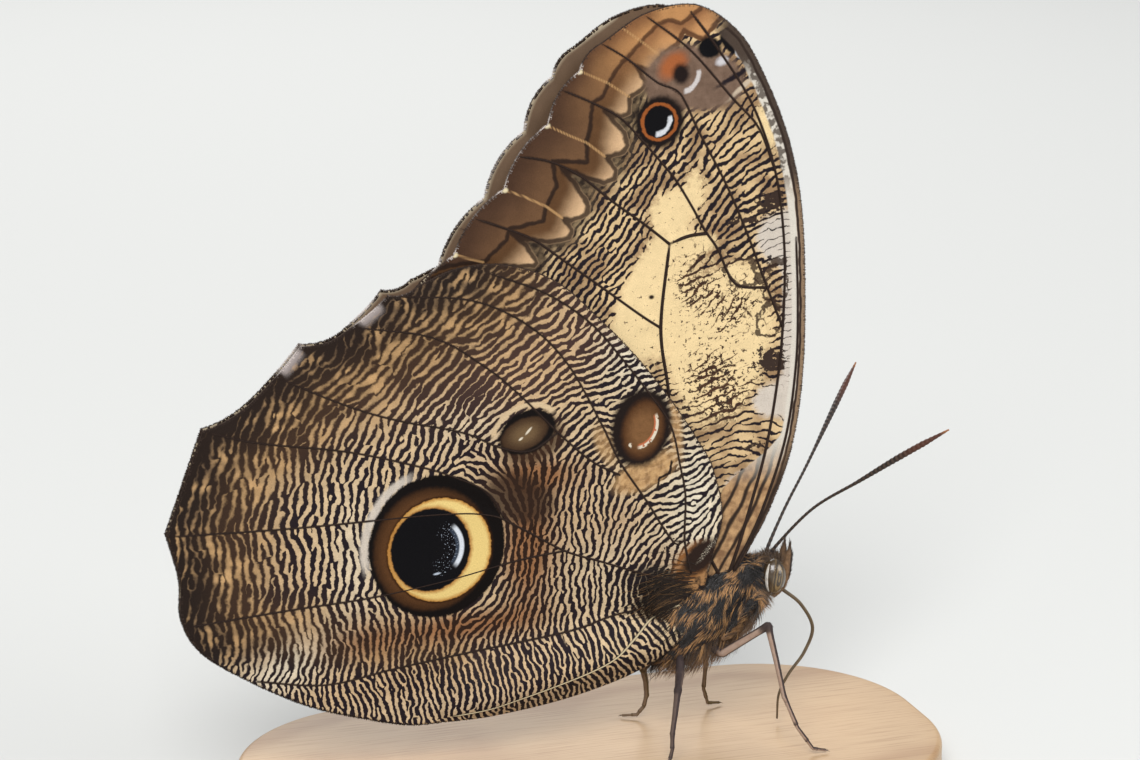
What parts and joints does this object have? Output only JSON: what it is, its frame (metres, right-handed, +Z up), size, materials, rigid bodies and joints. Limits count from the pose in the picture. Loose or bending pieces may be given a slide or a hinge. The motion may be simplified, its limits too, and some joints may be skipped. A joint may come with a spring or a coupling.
{
  "type": "owl butterfly model",
  "caption": "Owl butterfly at life size, wings closed over the back, feeding with its tongue down, on a small flat base.",
  "frame": {"origin": "middle of the underside of the base, on the floor", "axes": "+X towards the head, +Y the animal's left side, +Z up"},
  "size_m": [0.0968, 0.046, 0.0974],
  "materials": {
    "wood": "satin",
    "forewing": "matt scales",
    "hindwing": "matt scales",
    "fur": "short fur",
    "abdomen": "short fur",
    "eye": "gloss",
    "horn": "satin",
    "leg": "satin scales"
  },
  "bodies": {
    "root": {"stand_base": "wood", "thorax": "fur", "abdomen": "abdomen", "head": "fur", "eye_right": "eye", "eye_left": "eye", "palp_right": "fur", "palp_left": "fur", "antenna_right": "horn", "antenna_left": "horn", "proboscis": "horn", "forewing_right": "forewing", "forewing_left": "forewing", "hindwing_right": "hindwing", "hindwing_left": "hindwing", "foreleg_right": "leg", "foreleg_left": "leg", "midleg_right": "leg", "midleg_left": "leg", "hindleg_right": "leg", "hindleg_left": "leg"}
  },
  "joints": []
}
